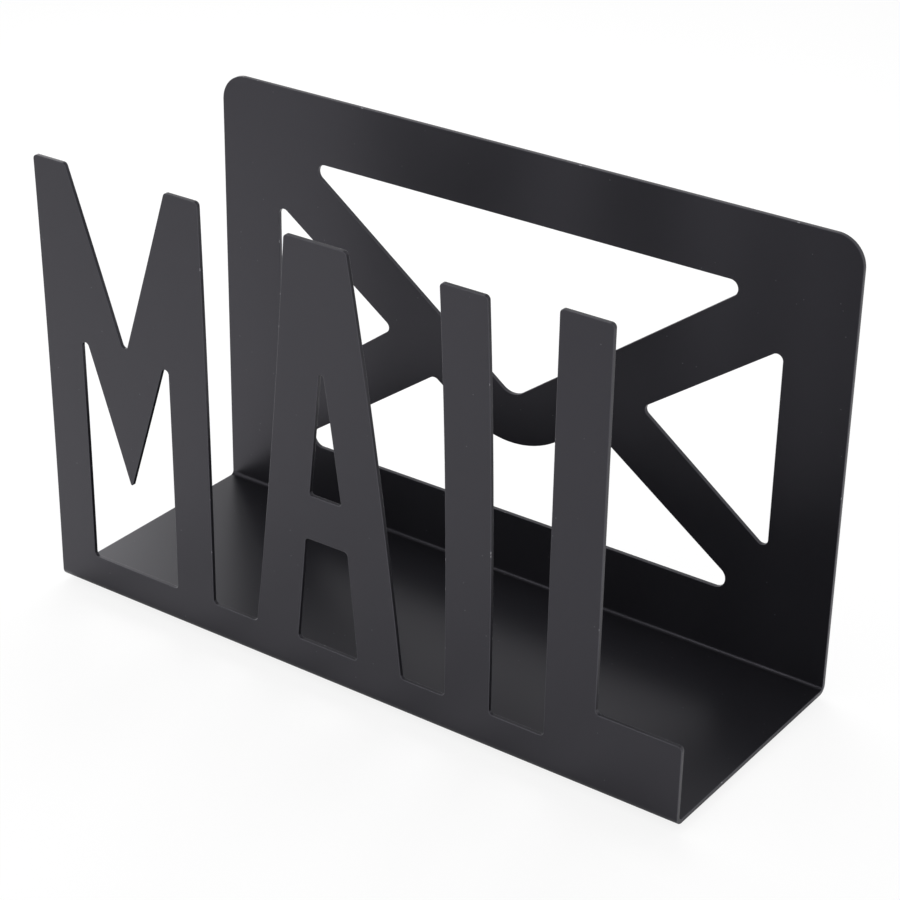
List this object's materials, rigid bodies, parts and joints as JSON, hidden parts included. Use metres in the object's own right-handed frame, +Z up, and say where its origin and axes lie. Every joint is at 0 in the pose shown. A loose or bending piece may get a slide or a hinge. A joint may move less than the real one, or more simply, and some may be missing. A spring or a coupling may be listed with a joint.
{
  "type": "mail holder",
  "caption": "Desk mail holder bent from sheet steel, with a front wall cut as block letters, a flat base and a back wall with an envelope figure cut through it, on rubber feet.",
  "frame": {"origin": "on the desk, under the middle of the holder's box", "axes": "+X along the holder's width, to the right as seen from the lettered wall; +Y from the lettered wall to the back wall; +Z up"},
  "size_m": [0.25, 0.0998, 0.1619],
  "materials": {
    "powder_coat": "satin black powder coat",
    "foot_rubber": "matte black rubber"
  },
  "bodies": {
    "root": {"holder_sheet": "powder_coat", "foot_front_left": "foot_rubber", "foot_front_right": "foot_rubber", "foot_rear_left": "foot_rubber", "foot_rear_right": "foot_rubber"}
  },
  "joints": []
}
